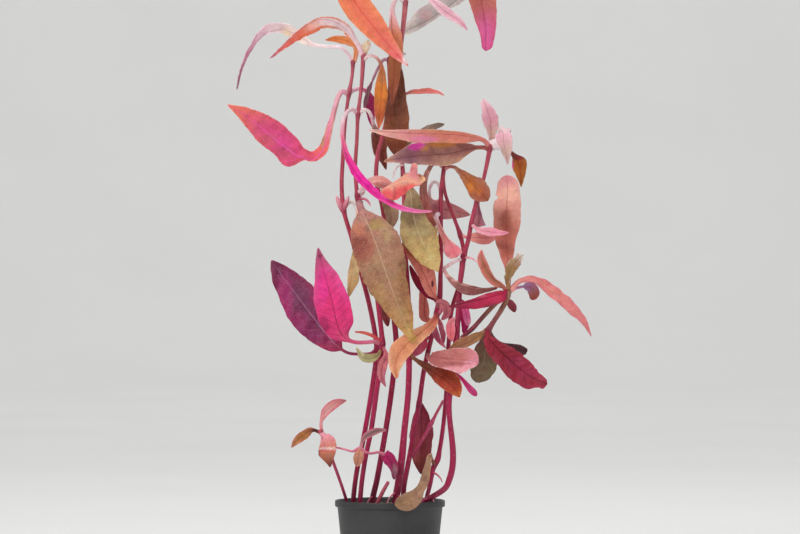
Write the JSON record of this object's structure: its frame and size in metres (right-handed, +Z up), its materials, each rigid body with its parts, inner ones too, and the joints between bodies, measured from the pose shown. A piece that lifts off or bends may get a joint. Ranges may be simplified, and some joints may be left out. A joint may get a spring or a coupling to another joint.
{
  "type": "potted aquarium plant",
  "caption": "Red-leaved aquarium stem plant in a small plain pot, with long bare stems and drooping lance-shaped leaves.",
  "frame": {"origin": "centre of the pot's flat base", "axes": "+Z up, the way the stems grow; the pictured side of the plant faces -Y"},
  "size_m": [0.181, 0.0647, 0.3511],
  "materials": {
    "pot": "plain dark moulded plastic",
    "plug": "matt mineral wool plug",
    "stem": "smooth raspberry-red plant stem",
    "leaf_pale_pink": "satin leaf, pale pink",
    "leaf_coral": "satin leaf, coral with a darker midrib",
    "leaf_magenta": "satin leaf, hot magenta",
    "leaf_salmon": "satin leaf, salmon pink",
    "leaf_tan": "satin leaf, tan to red-brown",
    "leaf_olive": "satin leaf, olive to yellow-tan",
    "leaf_mauve": "satin leaf, mauve-brown",
    "leaf_crimson": "satin leaf, crimson to maroon",
    "leaf_ochre": "satin leaf, ochre to orange-brown",
    "leaf_grey": "satin leaf, grey-mauve with whitish edges"
  },
  "bodies": {
    "root": {"pot": "pot", "growing_plug": "plug", "stem_far_left": "stem", "stem_left": "stem", "stem_mid_left": "stem", "stem_middle": "stem", "stem_mid_right": "stem", "stem_right": "stem", "stem_far_right": "stem", "branch_right": "stem", "plantlet": "stem", "side_shoot": "stem", "runner": "stem", "stub_shoot": "stem", "leaf_top_left_drooping": "leaf_pale_pink", "leaf_top_left_twisted": "leaf_pale_pink", "leaf_left_folded": "leaf_magenta", "leaf_magenta_hanging": "leaf_magenta", "leaf_orange_hanging": "leaf_ochre", "leaf_brown_hanging": "leaf_tan", "leaf_magenta_arch": "leaf_magenta", "leaf_pale_centre": "leaf_pale_pink", "leaf_tan_large": "leaf_tan", "leaf_yellow_hanging": "leaf_olive", "leaf_olive_wide": "leaf_olive", "leaf_rose_hook": "leaf_tan", "leaf_mauve_centre": "leaf_mauve", "leaf_ochre_right": "leaf_ochre", "leaf_salmon_level": "leaf_salmon", "leaf_salmon_hanging": "leaf_salmon", "leaf_salmon_long": "leaf_salmon", "leaf_mauve_long": "leaf_mauve", "leaf_ochre_hanging": "leaf_ochre", "leaf_pale_folded": "leaf_pale_pink", "leaf_coral_folded": "leaf_coral", "leaf_coral_top": "leaf_coral", "leaf_pink_hanging_top": "leaf_coral", "leaf_brown_large": "leaf_tan", "leaf_grey_top": "leaf_grey", "leaf_pale_top": "leaf_pale_pink", "leaf_coral_top_right": "leaf_coral", "leaf_coral_arched_right": "leaf_salmon", "leaf_olive_ragged": "leaf_olive", "leaf_salmon_upright": "leaf_salmon", "leaf_crimson_centre": "leaf_crimson", "leaf_brown_sweeping": "leaf_mauve", "leaf_salmon_behind": "leaf_salmon", "leaf_salmon_holed": "leaf_salmon", "leaf_peach_forked": "leaf_coral", "leaf_purple_left": "leaf_crimson", "leaf_pink_left": "leaf_magenta", "leaf_rust_low": "leaf_ochre", "leaf_salmon_curled": "leaf_salmon", "leaf_tan_low": "leaf_tan", "leaf_crimson_right": "leaf_crimson", "leaf_maroon_right": "leaf_crimson", "leaf_olive_low": "leaf_olive", "leaf_maroon_low": "leaf_crimson", "leaf_dark_red_low": "leaf_crimson", "leaf_tan_hook": "leaf_olive"}
  },
  "joints": []
}
